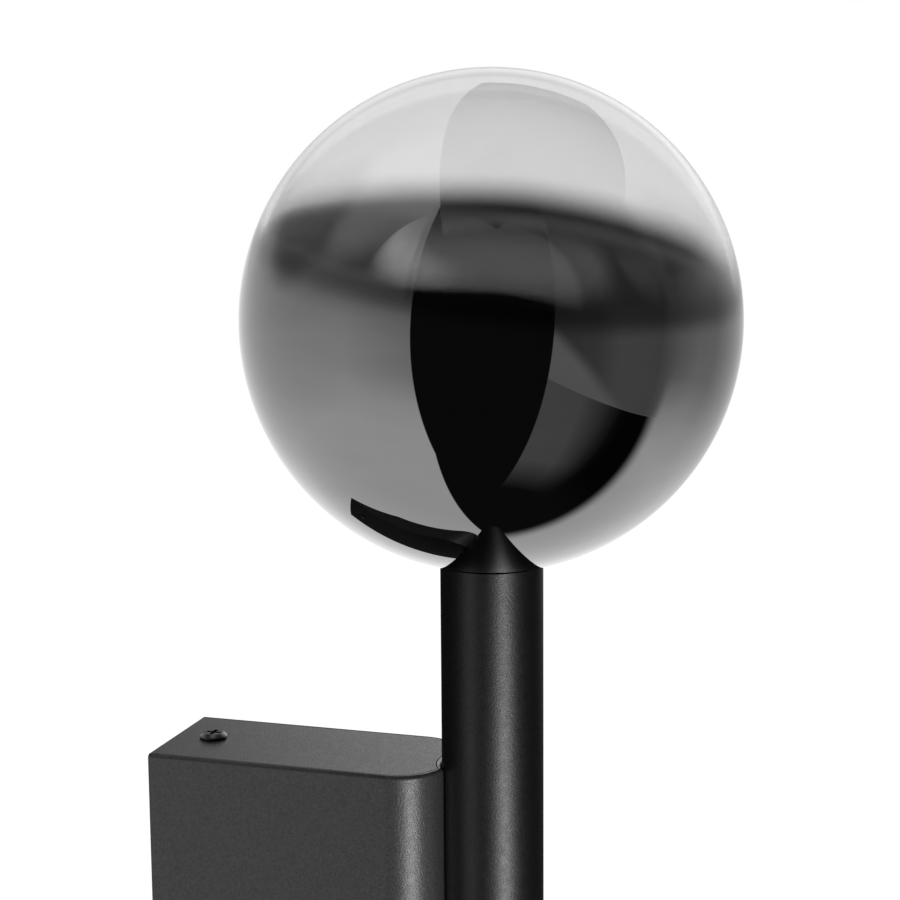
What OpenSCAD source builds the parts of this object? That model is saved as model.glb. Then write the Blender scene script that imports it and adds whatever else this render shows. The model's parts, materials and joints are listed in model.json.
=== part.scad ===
// Globe wall sconce: a part-mirrored glass globe rests in the mouth of an upright tube,
// and a sheet-metal housing behind the tube carries it on the wall.
// X runs along the wall, Y points into the wall and Z points up.
// The origin is the middle of the wall screws, on the wall's surface.

/* [Globe] */
// Outside diameter of the glass globe
globe_d = 153; // [130:1:180]
// Thickness of the blown glass
glass_wall = 2.4; // [1.6:0.1:4]
// How far the globe stays above the rim that it would touch
globe_lift = 0.3; // [0.2:0.05:0.6]
// Width of the flat rim outside the circle under the globe
rim_land = 0.4; // [0.2:0.1:0.8]

/* [Tube] */
// Outside diameter of the tube
tube_d = 32; // [30:0.5:36]
// Wall of the tube
tube_wall = 2; // [1.6:0.1:2.4]
// Length of the tube
tube_len = 280; // [240:5:360]
// Height of the rim above the top of the housing
rim_rise = 64.5; // [55:0.5:90]
// Slope cut inside the rim, across the wall
rim_bevel_w = 1.3; // [0.9:0.1:1.4]
// Slope cut inside the rim, down the bore
rim_bevel_h = 0.8; // [0.6:0.1:1.2]

/* [Housing] */
// Width of the housing along the wall
box_w = 45; // [42:0.5:54]
// Height of the housing
box_h = 95; // [92:1:120]
// Depth of the housing out from the wall
box_d = 95.5; // [92:0.5:110]
// Radius of the two front corners
corner_r = 16; // [12:0.5:18]
// Thickness of the sheet metal
sheet = 1.5; // [1.2:0.1:2]
// How deep the tube lies in the groove of the front
nest_depth = 3; // [2:0.25:4]
// Gap between the tube and its groove
nest_gap = 0.15; // [0.1:0.05:0.3]
// Gap of the seam between a cover plate and the wrap round it
seam_gap = 0.3; // [0.1:0.05:0.4]
// Depth of the lip under a cover plate
lip_depth = 3; // [2:0.5:4]
// Thickness of the lip
lip_wall = 1.2; // [1:0.1:1.5]
// Gap between the thin inner pieces and the walls beside them
lip_gap = 0.1; // [0.05:0.05:0.2]
// Where the lip ends, measured from the wall
lip_back = 24; // [22:1:30]

/* [Wall bracket] */
// Gap between each side of the bracket plate and the inside of the housing
bracket_side_gap = 2; // [1.75:0.25:3]
// Thickness of the bracket
bracket_t = 1.5; // [1.2:0.1:1.8]
// Inside radius of the bends
bend_r = 1.5; // [1:0.25:2]
// Width of the top and bottom flanges
flange_w = 16; // [12:0.5:18]
// Depth of the flanges out from the wall
flange_d = 20; // [18:0.5:22]
// Distance of each wall screw from the end of the housing
wall_screw_in = 11.5; // [10.5:0.25:12.5]
// Width of a wall slot
slot_w = 5; // [4.5:0.1:5.5]
// Length of a wall slot from end to end
slot_len = 10; // [8:0.5:11]
// Diameter of the cable hole in the bush
cable_d = 9; // [7:0.5:10]
// Diameter of the bush where it passes the bracket
bush_d = 14; // [13:0.5:15]
// Diameter of the bush's flange
bush_flange_d = 18; // [17:0.5:19]
// Thickness of the bush's flange
bush_flange_t = 2; // [1.5:0.25:3]
// Distance of the earth screw from the bracket's side
earth_in = 6; // [5.5:0.25:7]
// Diameter of the earth washer
earth_washer_d = 10; // [9:0.5:10.5]

/* [Screws] */
// Diameter of the large screws
screw_d = 4; // [3.5:0.1:4.2]
// Head diameter of the large screws
head_d = 8; // [7:0.1:8.4]
// Head height of the large screws
head_h = 2.4; // [1.8:0.1:2.8]
// Head diameter of the cover screws, which have a wide, low head
cover_head_d = 9; // [8:0.1:9.6]
// Head height of the cover screws
cover_head_h = 2; // [1.6:0.1:2.4]
// Length of a cover screw under its head
cover_screw_len = 6; // [5:0.5:7]
// Distance of the cover screws from the wall
cover_screw_back = 13; // [10:0.5:14]
// Diameter of the small screws
small_d = 3; // [2.5:0.1:3.2]
// Head diameter of the small screws
small_head_d = 5.5; // [5:0.1:6]
// Head height of the small screws
small_head_h = 2; // [1.5:0.1:2.2]
// Length of the small screws under the head
small_len = 6; // [4.5:0.5:7]
// Radial gap between a screw and its threaded hole
thread_gap = 0.05; // [0.02:0.01:0.1]
// Radial gap between a screw and a plain hole
hole_gap = 0.2; // [0.15:0.05:0.4]

/* [Tube joint] */
// Height of the block inside the tube
block_h = 60; // [54:1:70]
// Distance from the tube's axis to the flat of the block
block_flat = 4; // [2:0.5:6]
// Distance of the block's screws above and below its middle
block_screw_z = 21; // [18:0.5:24]
// Length of the block's screws
block_screw_len = 16; // [14:0.5:17]
// Outside diameter of the hollow nipple
nipple_d = 10; // [9:0.5:11]
// Bore of the hollow nipple
nipple_bore = 7; // [6:0.25:7.5]
// Thickness of the pad behind the groove, on the flat side
pad_t = 2.5; // [2:0.25:3.5]
// Width of the pad
pad_w = 28; // [24:1:30]
// Width of the nipple's nut across its flats
nut_af = 14; // [13:0.5:16]
// Thickness of the nut
nut_t = 4; // [3:0.5:5]
// Outside diameter of the toothed washer
washer_d = 17; // [16:0.5:19]
// Thickness of the toothed washer
washer_t = 1; // [0.6:0.1:1.2]
// Free end of the nipple past its nut
nipple_end = 1.5; // [1:0.25:2]

/* [Driver] */
// Height inside the housing that the driver's case leaves free
driver_room = 40; // [38:1:44]
// Depth of the driver's case, out from the wall
driver_d = 30; // [26:0.5:31]
// Thickness of the driver's case across the housing
driver_w = 26; // [22:0.5:27]
// Wall of the driver's case
driver_wall = 1.6; // [1.2:0.1:2]
// Gap between the free end of the nipple and the driver
driver_gap = 7.75; // [6.5:0.25:9]
// Height of the driver's middle, below the middle of the housing
driver_drop = 8; // [7:0.5:9]
// Height of the bosses that carry the driver
boss_h = 3; // [2:0.25:4]
// Diameter of the bosses
boss_d = 7; // [6:0.25:8]
// Length of the driver's ears
ear_len = 8; // [7:0.25:9]
// Width of the driver's ears
ear_w = 10; // [9:0.5:12]
// Thickness of the driver's ears
ear_t = 1.5; // [1.2:0.1:2]

/* [Terminals] */
// Distance between the two poles
pole_pitch = 8; // [7.5:0.25:8.5]
// Width of one pole of the terminal block
pole_w = 7; // [6:0.25:7.4]
// Distance of the second pole from the inside of the housing's side
pole_in = 9; // [8.6:0.1:9]
// Height of the terminal block off the bracket
terminal_h = 14; // [12:0.5:15]
// Length of the terminal block along its wires
terminal_len = 16; // [15:0.5:17]
// Height of the block's middle, below the middle of the bracket
terminal_drop = 19; // [18.5:0.25:20]
// Height of the wire holes off the bracket
terminal_wire_h = 6.5; // [6:0.25:7]
// Diameter of the wire holes
terminal_hole_d = 3.6; // [3:0.1:4]
// Diameter of the terminal screws
terminal_screw_d = 3.4; // [3:0.1:3.8]
// Depth of the terminal screws' heads in their holes
terminal_sink = 1; // [0.5:0.25:1.5]
// Height of the web between the poles
web_h = 5; // [3:0.25:5.5]

/* [Wires] */
// Outside diameter of a mains lead
lead_d = 2; // [1.6:0.1:2.2]
// Bend radius of the mains leads
lead_bend = 4; // [3.5:0.25:4.5]
// Gap between the mains leads' run and the tip of the lower cover screw
lead_gap = 1; // [0.75:0.25:2]
// Outside diameter of the cable to the light source
lamp_cable_d = 3.2; // [2.6:0.1:3.6]
// Bend radius of that cable inside the tube
lamp_bend_tube = 7; // [6:0.25:8]
// Bend radius of that cable behind the nut
lamp_bend_box = 4; // [3.5:0.25:4.5]
// Radius of the loop over the driver
lamp_loop = 9; // [8.5:0.25:10]
// Straight end of that cable above the driver
lamp_entry = 8; // [6:0.5:10]
// Distance of the cable from the tube's axis inside the tube
lamp_cable_r = 10.6; // [10:0.1:11]

/* [Light source] */
// Radial gap between the inner parts and the tube's bore
bore_gap = 0.1; // [0.05:0.05:0.2]
// Depth of the seat ring's foot below the rim
ring_foot = 5; // [4.5:0.1:6]
// Radial width of the seat ring
ring_w = 2.6; // [2:0.1:3]
// Radial gap on both sides of the seat ring
ring_gap = 0.1; // [0.05:0.05:0.1]
// Height of the collar inside the seat ring
collar_h = 2.4; // [2:0.1:3]
// Thickness of the collar
collar_t = 1; // [0.8:0.1:1.2]
// Height of the cup below the ring
cup_h = 11; // [10:0.25:13]
// Thickness of the lens
lens_t = 2; // [1.5:0.1:2.5]
// Depth of the lens's ledge below the foot of the ring
ledge_drop = 1.6; // [1:0.1:2]
// Width of the ledge under the lens
ledge_w = 1.2; // [1:0.1:1.5]
// Thickness of the clip over the lens
clip_t = 0.8; // [0.6:0.1:1]
// Radial width of the clip
clip_w = 1.1; // [0.9:0.1:1.3]
// Thickness of the light source's board
board_t = 1.6; // [1.2:0.1:2]
// Diameter of the lit disc on the board
chip_d = 9; // [7:0.5:10]
// Height of the lit disc
chip_h = 0.9; // [0.6:0.1:1.2]
// Wall of the reflector
reflector_wall = 0.6; // [0.5:0.1:0.8]
// Thickness of the thermal pad
thermal_t = 0.5; // [0.3:0.1:0.8]
// Thickness of the heat sink's top disc
sink_disc_t = 7; // [6.5:0.25:8]
// Length of the heat sink's fins
sink_fin_len = 26; // [20:1:40]
// Number of fins
sink_fins = 12; // [8:2:12]
// Thickness of a fin
fin_t = 1.2; // [1:0.1:1.4]
// Diameter of the heat sink's hub
sink_hub_d = 9; // [8:0.5:11]
// Width of the cable slot through the heat sink's disc
sink_slot_w = 4.2; // [4:0.1:4.4]
// Diameter of the screws that hold the light source together from below
cup_screw_d = 2; // [1.6:0.1:2.2]
// Head diameter of those screws
cup_head_d = 3.6; // [3.2:0.1:3.7]
// Head height of those screws
cup_head_h = 1.4; // [1.2:0.1:1.6]
// How far those screws reach into the cup
cup_screw_bite = 5; // [4:0.25:5.5]
// Distance of those screws from the tube's axis
cup_screw_r = 11.8; // [11.6:0.1:11.9]

/* [Bottom cap] */
// Thickness of the cap's face
cap_t = 3; // [2:0.25:4]
// Depth of the cap's face inside the tube
cap_inset = 0.5; // [0.25:0.25:1]
// Height of the cap's skirt
cap_skirt = 10; // [9.5:0.5:14]
// Thickness of the cap's skirt
cap_wall = 2.5; // [2:0.25:3]

/* [Hidden] */
$fn = 96;
// One overrun serves every cut
over = 1;
// Gap between flat faces of pieces that are screwed together
seat = 0.05;
// Proportions of a cross recess to its screw head
recess_len_share = 0.56;
recess_w_share = 0.14;
recess_depth_share = 0.55;
// Part of a pan head's height that is straight, and the width of its top
pan_side_share = 0.45;
pan_top_share = 0.72;
// Depth and length of a grub screw's hexagon, as a share of its diameter
hex_share = 0.5;
// Directions of the cup's screws, clear of the cable's slot and of the set screw
cup_screw_turns = [30, 150, 210, 330];

globe_r = globe_d / 2;
tube_r = tube_d / 2;
bore_r = tube_r - tube_wall;
axis_y = -(box_d + tube_r - nest_depth);
rim_z = box_h / 2 + rim_rise;
foot_z = rim_z - tube_len;
touch_r = tube_r - rim_land;
globe_z = rim_z + globe_lift + sqrt(globe_r * globe_r - touch_r * touch_r);

inner_x = box_w / 2 - sheet;
inner_z = box_h / 2 - sheet;
bracket_w = 2 * (inner_x - bracket_side_gap);
wall_pitch = box_h - 2 * wall_screw_in;
groove_r = tube_r + nest_gap;
groove_y = axis_y + groove_r + sheet;
pad_back_y = groove_y + pad_t;
washer_y = pad_back_y + seat;
nut_y = washer_y + washer_t + seat;
nipple_tip_y = nut_y + nut_t + nipple_end;

flange_z = inner_z - seat;
bend_z = flange_z - bracket_t - bend_r;

driver_h = 2 * inner_z - driver_room;
driver_x1 = inner_x - boss_h - seat;
driver_x0 = driver_x1 - driver_w;
driver_y0 = nipple_tip_y + driver_gap;
driver_y1 = driver_y0 + driver_d;
driver_z1 = driver_h / 2 - driver_drop;
driver_z0 = -driver_h / 2 - driver_drop;
driver_mid_y = (driver_y0 + driver_y1) / 2;
ear_zs = [driver_z0 - ear_len / 2, driver_z1 + ear_len / 2];

terminal_y1 = -bracket_t - seat;
terminal_wire_y = terminal_y1 - terminal_wire_h;
terminal_z0 = -terminal_drop - terminal_len / 2;
pole_xs = [inner_x - pole_in - pole_pitch, inner_x - pole_in];

ring_ro = bore_r - ring_gap;
ring_ri = ring_ro - ring_w;
ring_z = rim_z - ring_foot;
collar_ro = ring_ri - ring_gap;
lens_r = collar_ro - collar_t;
ledge_z = ring_z - ledge_drop;
cup_z = ring_z - cup_h;
board_z = cup_z - seat - board_t;
thermal_z = board_z - thermal_t;
sink_z = thermal_z - sink_disc_t;
inner_r = bore_r - bore_gap;

grub_z = sink_z + sink_disc_t / 2;
cap_z = foot_z + cap_inset;
cap_grub_z = cap_z + cap_skirt - screw_d;

// Plan of the housing: square at the wall, rounded at the front, with the tube's groove
module box_outline(inset) {
    half = box_w / 2 - inset;
    straight = box_d - corner_r;
    difference() {
        union() {
            translate([-half, -straight])
                square([2 * half, straight]);
            for (side = [-1, 1])
                translate([side * (box_w / 2 - corner_r), -straight])
                    circle(corner_r - inset);
            translate([-(box_w / 2 - corner_r), inset - box_d])
                square([box_w - 2 * corner_r, corner_r]);
        }
        translate([0, axis_y])
            circle(groove_r + inset);
    }
}

// The same plan run out past the wall, for cutting a space that is open at the back
module open_outline(inset) {
    box_outline(inset);
    translate([inset - box_w / 2, -over])
        square([box_w - 2 * inset, 2 * over]);
}

// A round bar or hole along Y, from one place to another
module along_y(d, y0, y1, x = 0, z = 0) {
    translate([x, y1, z])
        rotate([90, 0, 0])
            cylinder(d = d, h = y1 - y0);
}

// A round bar or hole along X
module along_x(d, x0, x1, y = 0, z = 0) {
    translate([x0, y, z])
        rotate([0, 90, 0])
            cylinder(d = d, h = x1 - x0);
}

// A bend in the YZ plane about a centre, from one angle over a sweep
module bend_yz(x, y, z, bend, d, start, sweep) {
    translate([x, y, z])
        rotate([90, 0, 90])
            rotate([0, 0, start])
                rotate_extrude(angle = sweep)
                    translate([bend, 0])
                        circle(d = d);
}

// A pan-head screw with a cross recess, its head above Z zero and its shank below
module pan_screw(d, len, hd, hh) {
    difference() {
        union() {
            translate([0, 0, -len])
                cylinder(d = d, h = len + hh * pan_side_share);
            cylinder(d = hd, h = hh * pan_side_share);
            translate([0, 0, hh * pan_side_share])
                cylinder(d1 = hd, d2 = hd * pan_top_share, h = hh * (1 - pan_side_share));
        }
        for (turn = [0, 90])
            rotate([0, 0, turn])
                translate([0, 0, hh * (1 - recess_depth_share)])
                    linear_extrude(height = hh)
                        square([hd * recess_len_share, hd * recess_w_share], center = true);
    }
}

// A grub screw along Y that ends flush with the outside of the tube
module grub(z) {
    outer_y = axis_y + tube_r - nest_gap;
    difference() {
        along_y(screw_d, axis_y + inner_r - screw_d / 2, outer_y, 0, z);
        translate([0, outer_y + over, z])
            rotate([90, 0, 0])
                cylinder(d = screw_d * hex_share, h = over + screw_d * hex_share, $fn = 6);
    }
}

// A slot with round ends through the bracket, upright
module wall_slot(z) {
    reach = (slot_len - slot_w) / 2;
    for (side = [-1, 1])
        along_y(slot_w, -bracket_t - over, over, 0, z + side * reach);
    translate([-slot_w / 2, -bracket_t - over, z - reach])
        cube([slot_w, bracket_t + 2 * over, 2 * reach]);
}

// Side profile of the bracket: the plate, a bend at each end and the flanges
module bracket_profile(with_flanges) {
    translate([-bracket_t, -bend_z])
        square([bracket_t, 2 * bend_z]);
    if (with_flanges)
        for (side = [0, 1])
            mirror([0, side]) {
                translate([-bracket_t - bend_r, bend_z])
                    intersection() {
                        difference() {
                            circle(bracket_t + bend_r);
                            circle(bend_r);
                        }
                        square(bracket_t + bend_r);
                    }
                translate([-flange_d, bend_z + bend_r])
                    square([flange_d - bracket_t - bend_r, bracket_t]);
            }
}

module wall_bracket() {
    color("silver")
        difference() {
            union() {
                rotate([90, 0, 90])
                    linear_extrude(height = bracket_w, center = true)
                        bracket_profile(false);
                rotate([90, 0, 90])
                    linear_extrude(height = flange_w, center = true)
                        bracket_profile(true);
            }
            for (side = [-1, 1])
                wall_slot(side * wall_pitch / 2);
            along_y(bush_d + 2 * hole_gap, -bracket_t - over, over);
            along_y(screw_d + 2 * thread_gap, -bracket_t - over, over,
                    earth_x(), -terminal_drop);
            along_y(small_d + 2 * thread_gap, -bracket_t - over, over,
                    terminal_mid_x(), -terminal_drop);
            translate([0, -cover_screw_back, -flange_z - over])
                cylinder(d = screw_d + 2 * thread_gap, h = 2 * (flange_z + over));
        }
}

function earth_x() = earth_in - bracket_w / 2;
function terminal_mid_x() = (pole_xs[0] + pole_xs[1]) / 2;

module cable_bush() {
    color("dimgray")
        difference() {
            union() {
                along_y(bush_d, -bracket_t - bush_flange_t, 0);
                along_y(bush_flange_d, -bracket_t - seat - bush_flange_t, -bracket_t - seat);
            }
            along_y(cable_d, -bracket_t - bush_flange_t - over, over);
        }
}

module earth_screw() {
    color("gold")
        translate([earth_x(), -bracket_t - 2 * seat - washer_t, -terminal_drop])
            rotate([90, 0, 0])
                pan_screw(screw_d, washer_t + bracket_t + seat, head_d, head_h);
}

module earth_washer() {
    color("silver")
        difference() {
            along_y(earth_washer_d, -bracket_t - seat - washer_t, -bracket_t - seat,
                    earth_x(), -terminal_drop);
            along_y(screw_d + 2 * hole_gap, -bracket_t - washer_t - over, 0,
                    earth_x(), -terminal_drop);
        }
}

module terminal_block() {
    color("ivory")
        difference() {
            union() {
                for (x = pole_xs)
                    translate([x - pole_w / 2, terminal_y1 - terminal_h, terminal_z0])
                        cube([pole_w, terminal_h, terminal_len]);
                translate([pole_xs[0], terminal_y1 - web_h, terminal_z0])
                    cube([pole_pitch, web_h, terminal_len]);
            }
            for (x = pole_xs) {
                translate([x, terminal_wire_y, terminal_z0 - over])
                    cylinder(d = terminal_hole_d, h = terminal_len + 2 * over);
                for (side = [-1, 1])
                    along_y(terminal_screw_d + 2 * thread_gap, terminal_y1 - terminal_h - over,
                            terminal_wire_y, x, side * terminal_len / 4 - terminal_drop);
            }
            along_y(small_d + 2 * hole_gap, terminal_y1 - web_h - over, terminal_y1 + over,
                    terminal_mid_x(), -terminal_drop);
            along_y(small_head_d + 2 * hole_gap, terminal_y1 - terminal_h - over, terminal_y1 - web_h,
                    terminal_mid_x(), -terminal_drop);
        }
}

module terminal_screws() {
    head_y = terminal_y1 - terminal_h + terminal_sink;
    slit = 2 * terminal_screw_d * recess_w_share;
    color("gold")
        for (x = pole_xs)
            for (side = [-1, 1])
                translate([x, 0, side * terminal_len / 4 - terminal_drop])
                    difference() {
                        along_y(terminal_screw_d, head_y, terminal_wire_y - terminal_hole_d / 2);
                        translate([-terminal_screw_d, head_y - over, -slit / 2])
                            cube([2 * terminal_screw_d, over + terminal_sink, slit]);
                    }
}

module terminal_fixing_screw() {
    color("silver")
        translate([terminal_mid_x(), terminal_y1 - web_h - seat, -terminal_drop])
            rotate([90, 0, 0])
                pan_screw(small_d, web_h + bracket_t + seat, small_head_d, small_head_h);
}

// Places of the screws and of the nipple that hold the tube
module tube_holes(y0, y1, gap) {
    along_y(nipple_d + 2 * gap, y0, y1);
    for (side = [-1, 1])
        along_y(screw_d + 2 * gap, y0, y1, 0, side * block_screw_z);
}

module housing_wrap() {
    color("#3a3b3d") {
        difference() {
            union() {
                translate([0, 0, -box_h / 2])
                    linear_extrude(height = box_h)
                        difference() {
                            box_outline(0);
                            open_outline(sheet);
                        }
                for (z = ear_zs)
                    along_x(boss_d, inner_x - boss_h, inner_x + sheet / 2, driver_mid_y, z);
            }
            tube_holes(axis_y, pad_back_y + over, hole_gap);
            for (z = ear_zs)
                along_x(small_d + 2 * thread_gap, inner_x - boss_h - over, inner_x, driver_mid_y, z);
        }
    }
}

// A cover plate that lies flush inside the wrap, with a lip turned down along its edge;
// this is the top one, and the bottom one is its mirror image
module cover_plate() {
    edge = sheet + seam_gap;
    difference() {
        union() {
            translate([0, 0, inner_z])
                linear_extrude(height = sheet)
                    box_outline(edge);
            translate([0, 0, inner_z - lip_depth])
                linear_extrude(height = lip_depth + sheet / 2)
                    difference() {
                        box_outline(edge);
                        box_outline(edge + lip_wall);
                        translate([-box_w / 2, -lip_back])
                            square([box_w, lip_back + over]);
                    }
        }
        translate([0, -cover_screw_back, inner_z - over])
            cylinder(d = screw_d + 2 * hole_gap, h = sheet + 2 * over);
    }
}

module top_plate() {
    color("#3a3b3d")
        cover_plate();
}

module bottom_plate() {
    color("#3a3b3d")
        mirror([0, 0, 1])
            cover_plate();
}

module cover_screws() {
    color("#2c2c2e")
        for (side = [0, 1])
            mirror([0, 0, side])
                translate([0, -cover_screw_back, box_h / 2 + seat])
                    pan_screw(screw_d, cover_screw_len, cover_head_d, cover_head_h);
}

module driver_case() {
    color("whitesmoke")
        difference() {
            union() {
                translate([driver_x0 + driver_wall, driver_y0, driver_z0])
                    cube([driver_w - driver_wall, driver_d, driver_h]);
                translate([driver_x1 - ear_t, driver_mid_y - ear_w / 2, driver_z0 - ear_len])
                    cube([ear_t, ear_w, driver_h + 2 * ear_len]);
            }
            translate([driver_x0, driver_y0 + driver_wall, driver_z0 + driver_wall])
                cube([driver_w - driver_wall, driver_d - 2 * driver_wall, driver_h - 2 * driver_wall]);
            for (z = ear_zs)
                along_x(small_d + 2 * hole_gap, driver_x1 - ear_t - over, driver_x1 + over,
                        driver_mid_y, z);
            for (x = pole_xs)
                translate([x, driver_mid_y, driver_z0 - over])
                    cylinder(d = lead_d + 2 * hole_gap, h = driver_wall + 2 * over);
            translate([0, lamp_driver_y(), driver_z1 - driver_wall - over])
                cylinder(d = lamp_cable_d + 2 * hole_gap, h = driver_wall + 2 * over);
        }
}

module driver_lid() {
    gap = driver_wall + lip_gap;
    inset = gap + driver_wall;
    color("whitesmoke") {
        translate([driver_x0, driver_y0, driver_z0])
            cube([driver_wall - seat, driver_d, driver_h]);
        difference() {
            translate([driver_x0, driver_y0 + gap, driver_z0 + gap])
                cube([2 * driver_wall, driver_d - 2 * gap, driver_h - 2 * gap]);
            translate([driver_x0 + driver_wall, driver_y0 + inset, driver_z0 + inset])
                cube([driver_wall + over, driver_d - 2 * inset, driver_h - 2 * inset]);
        }
    }
}

module driver_screws() {
    color("silver")
        for (z = ear_zs)
            translate([driver_x1 - ear_t - seat, driver_mid_y, z])
                rotate([0, -90, 0])
                    pan_screw(small_d, boss_h + ear_t - 2 * seat, small_head_d, small_head_h);
}

// Two leads from the terminal block, down, under the driver and up into its end
module mains_leads() {
    run_z = cover_screw_len - box_h / 2 - seat + lead_gap + lead_d / 2;
    color("firebrick")
        for (x = pole_xs) {
            translate([x, terminal_wire_y, run_z + lead_bend])
                cylinder(d = lead_d, h = terminal_z0 + terminal_len / 4 - run_z - lead_bend);
            bend_yz(x, terminal_wire_y - lead_bend, run_z + lead_bend, lead_bend, lead_d, -90, 90);
            along_y(lead_d, driver_mid_y + lead_bend, terminal_wire_y - lead_bend, x, run_z);
            bend_yz(x, driver_mid_y + lead_bend, run_z + lead_bend, lead_bend, lead_d, 180, 90);
            translate([x, driver_mid_y, run_z + lead_bend])
                cylinder(d = lead_d, h = driver_z0 + driver_wall - run_z - lead_bend);
        }
}

module backing_pad() {
    pad_h = block_h;
    color("silver")
        difference() {
            translate([0, 0, -pad_h / 2])
                linear_extrude(height = pad_h)
                    intersection() {
                        box_outline(sheet + seat);
                        translate([-pad_w / 2, -box_d])
                            square([pad_w, box_d + pad_back_y]);
                    }
            tube_holes(-box_d, pad_back_y + over, hole_gap);
        }
}

module nipple_washer() {
    color("silver")
        difference() {
            along_y(washer_d, washer_y, washer_y + washer_t);
            along_y(nipple_d + 2 * hole_gap, washer_y - over, washer_y + washer_t + over);
        }
}

module nipple_nut() {
    color("gold")
        difference() {
            translate([0, nut_y + nut_t, 0])
                rotate([90, 0, 0])
                    cylinder(d = nut_af / cos(30), h = nut_t, $fn = 6);
            along_y(nipple_d + 2 * thread_gap, nut_y - over, nut_y + nut_t + over);
        }
}

module hollow_nipple() {
    color("gold")
        difference() {
            along_y(nipple_d, axis_y + block_flat, nipple_tip_y);
            along_y(nipple_bore, axis_y, nipple_tip_y + over);
        }
}

// A half-round block that lies against the inside of the tube and takes its screws
module tube_block() {
    color("silver")
        difference() {
            translate([0, axis_y, -block_h / 2])
                linear_extrude(height = block_h)
                    intersection() {
                        circle(inner_r);
                        translate([-tube_r, block_flat])
                            square([tube_d, tube_r]);
                    }
            tube_holes(axis_y, axis_y + tube_r, thread_gap);
        }
}

module block_screws() {
    color("silver")
        for (side = [-1, 1])
            translate([0, pad_back_y + seat, side * block_screw_z])
                rotate([-90, 0, 0])
                    pan_screw(screw_d, block_screw_len, head_d, head_h);
}

module tube() {
    color("#232325")
        difference() {
            translate([0, axis_y, 0])
                rotate_extrude()
                    polygon([
                        [bore_r, foot_z],
                        [tube_r, foot_z],
                        [tube_r, rim_z],
                        [bore_r + rim_bevel_w, rim_z],
                        [bore_r, rim_z - rim_bevel_h]
                    ]);
            tube_holes(axis_y, axis_y + tube_r + over, hole_gap);
            for (z = [grub_z, cap_grub_z])
                along_y(screw_d + 2 * thread_gap, axis_y, axis_y + tube_r + over, 0, z);
        }
}

module bottom_cap() {
    color("#232325")
        difference() {
            translate([0, axis_y, cap_z])
                difference() {
                    cylinder(r = inner_r, h = cap_skirt);
                    translate([0, 0, cap_t])
                        cylinder(r = inner_r - cap_wall, h = cap_skirt);
                }
            along_y(screw_d + 2 * thread_gap, axis_y, axis_y + tube_r, 0, cap_grub_z);
        }
}

module set_screws() {
    color("#2c2c2e")
        for (z = [grub_z, cap_grub_z])
            grub(z);
}

// Plan of the fins: spokes about a hub, with a free gap on the side away from the wall
module fin_outline() {
    intersection() {
        circle(inner_r);
        union() {
            circle(d = sink_hub_d);
            for (i = [0 : sink_fins - 1])
                rotate([0, 0, (i + 0.5) * 360 / sink_fins - 90])
                    translate([0, -fin_t / 2])
                        square([tube_r, fin_t]);
        }
    }
}

module heat_sink() {
    color("silver")
        difference() {
            translate([0, axis_y, sink_z]) {
                translate([0, 0, -sink_fin_len])
                    linear_extrude(height = sink_fin_len + over)
                        fin_outline();
                cylinder(r = inner_r, h = sink_disc_t);
            }
            cable_slot(sink_z - over, thermal_z + over);
            along_y(screw_d + 2 * thread_gap, axis_y + inner_r - screw_d, axis_y + tube_r, 0, grub_z);
            cup_screw_holes(sink_z - over, thermal_z + over, hole_gap);
        }
}

// The slot that lets the cable past the pad and the disc
module cable_slot(z0, z1) {
    translate([-sink_slot_w / 2, axis_y - tube_r, z0])
        cube([sink_slot_w, tube_r - lamp_cable_r + sink_slot_w / 2, z1 - z0]);
}

// Puts its children at the place of each of the cup's screws
module at_cup_screws(z) {
    for (turn = cup_screw_turns)
        translate([cup_screw_r * cos(turn), axis_y + cup_screw_r * sin(turn), z])
            children();
}

module cup_screw_holes(z0, z1, gap) {
    at_cup_screws(z0)
        cylinder(d = cup_screw_d + 2 * gap, h = z1 - z0);
}

module thermal_pad() {
    color("lightsteelblue")
        difference() {
            translate([0, axis_y, thermal_z])
                cylinder(r = inner_r - lip_gap, h = thermal_t);
            cable_slot(thermal_z - over, thermal_z + thermal_t + over);
            cup_screw_holes(thermal_z - over, thermal_z + thermal_t + over, hole_gap);
        }
}

module led_board() {
    color("white")
        difference() {
            translate([0, axis_y, board_z])
                cylinder(r = inner_r - lip_gap, h = board_t);
            cup_screw_holes(board_z - over, board_z + board_t + over, hole_gap);
        }
}

module led_chip() {
    color("khaki")
        translate([0, axis_y, board_z + board_t])
            cylinder(d = chip_d, h = chip_h);
}

// A thin cone between the lit disc and the lens
module reflector() {
    top_r = lens_r - ledge_w - ring_gap;
    low_r = chip_d / 2 + reflector_wall;
    low_z = board_z + board_t + seat;
    high_z = ledge_z - seat;
    color("gainsboro")
        translate([0, axis_y, 0])
            rotate_extrude()
                polygon([
                    [low_r, low_z],
                    [low_r + reflector_wall, low_z],
                    [top_r, high_z],
                    [top_r - reflector_wall, high_z]
                ]);
}

module seat_cup() {
    color("dimgray")
        difference() {
            translate([0, axis_y, 0])
                rotate_extrude()
                    polygon([
                        [lens_r - ledge_w, cup_z],
                        [inner_r, cup_z],
                        [inner_r, ring_z],
                        [collar_ro, ring_z],
                        [collar_ro, ring_z + collar_h],
                        [lens_r, ring_z + collar_h],
                        [lens_r, ledge_z],
                        [lens_r - ledge_w, ledge_z]
                    ]);
            cup_screw_holes(cup_z - over, cup_z + cup_screw_bite + seat, thread_gap);
        }
}

module cup_screws() {
    color("silver")
        at_cup_screws(sink_z - seat)
            mirror([0, 0, 1])
                pan_screw(cup_screw_d, cup_z + cup_screw_bite - sink_z, cup_head_d, cup_head_h);
}

module lens() {
    color("azure")
        translate([0, axis_y, ledge_z + seat])
            cylinder(r = lens_r - ring_gap, h = lens_t);
}

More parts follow.
